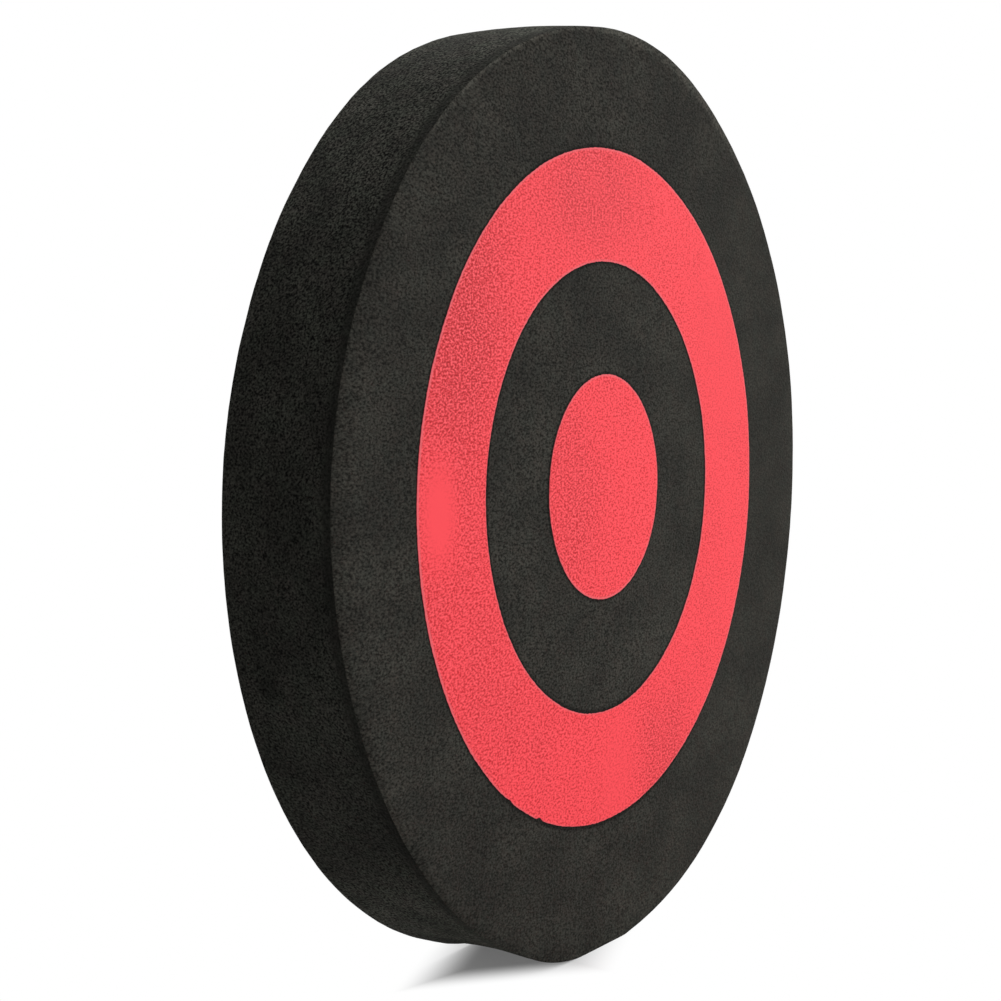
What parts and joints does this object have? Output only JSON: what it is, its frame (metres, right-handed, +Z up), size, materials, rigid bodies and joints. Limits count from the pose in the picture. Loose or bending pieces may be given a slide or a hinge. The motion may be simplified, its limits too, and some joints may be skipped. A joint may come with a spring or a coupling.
{
  "type": "archery target boss",
  "caption": "Thick round foam disc for shooting arrows at, standing on its rim, layered and glued, with a red ring and a red centre disc printed on its face.",
  "frame": {"origin": "on the surface that the disc stands on, under its centre and midway between its front and back", "axes": "+Z up; +Y is the disc's axis and points to the back, so the printed face looks along -Y; +X is to the right as a shooter sees the face"},
  "size_m": [0.4098, 0.0528, 0.4098],
  "materials": {
    "facing_foam": "matte closed-cell foam with a fine pebbled skin",
    "core_foam": "matte knife-cut closed-cell foam",
    "adhesive": "thin glue film between the foam layers",
    "red_ink": "matte screen-printed ink that follows the foam's grain"
  },
  "bodies": {
    "root": {"front_sheet": "facing_foam", "front_bond": "adhesive", "front_core_slab": "core_foam", "core_bond": "adhesive", "rear_core_slab": "core_foam", "rear_bond": "adhesive", "rear_sheet": "facing_foam", "ring_print": "red_ink", "bullseye_print": "red_ink"}
  },
  "joints": []
}
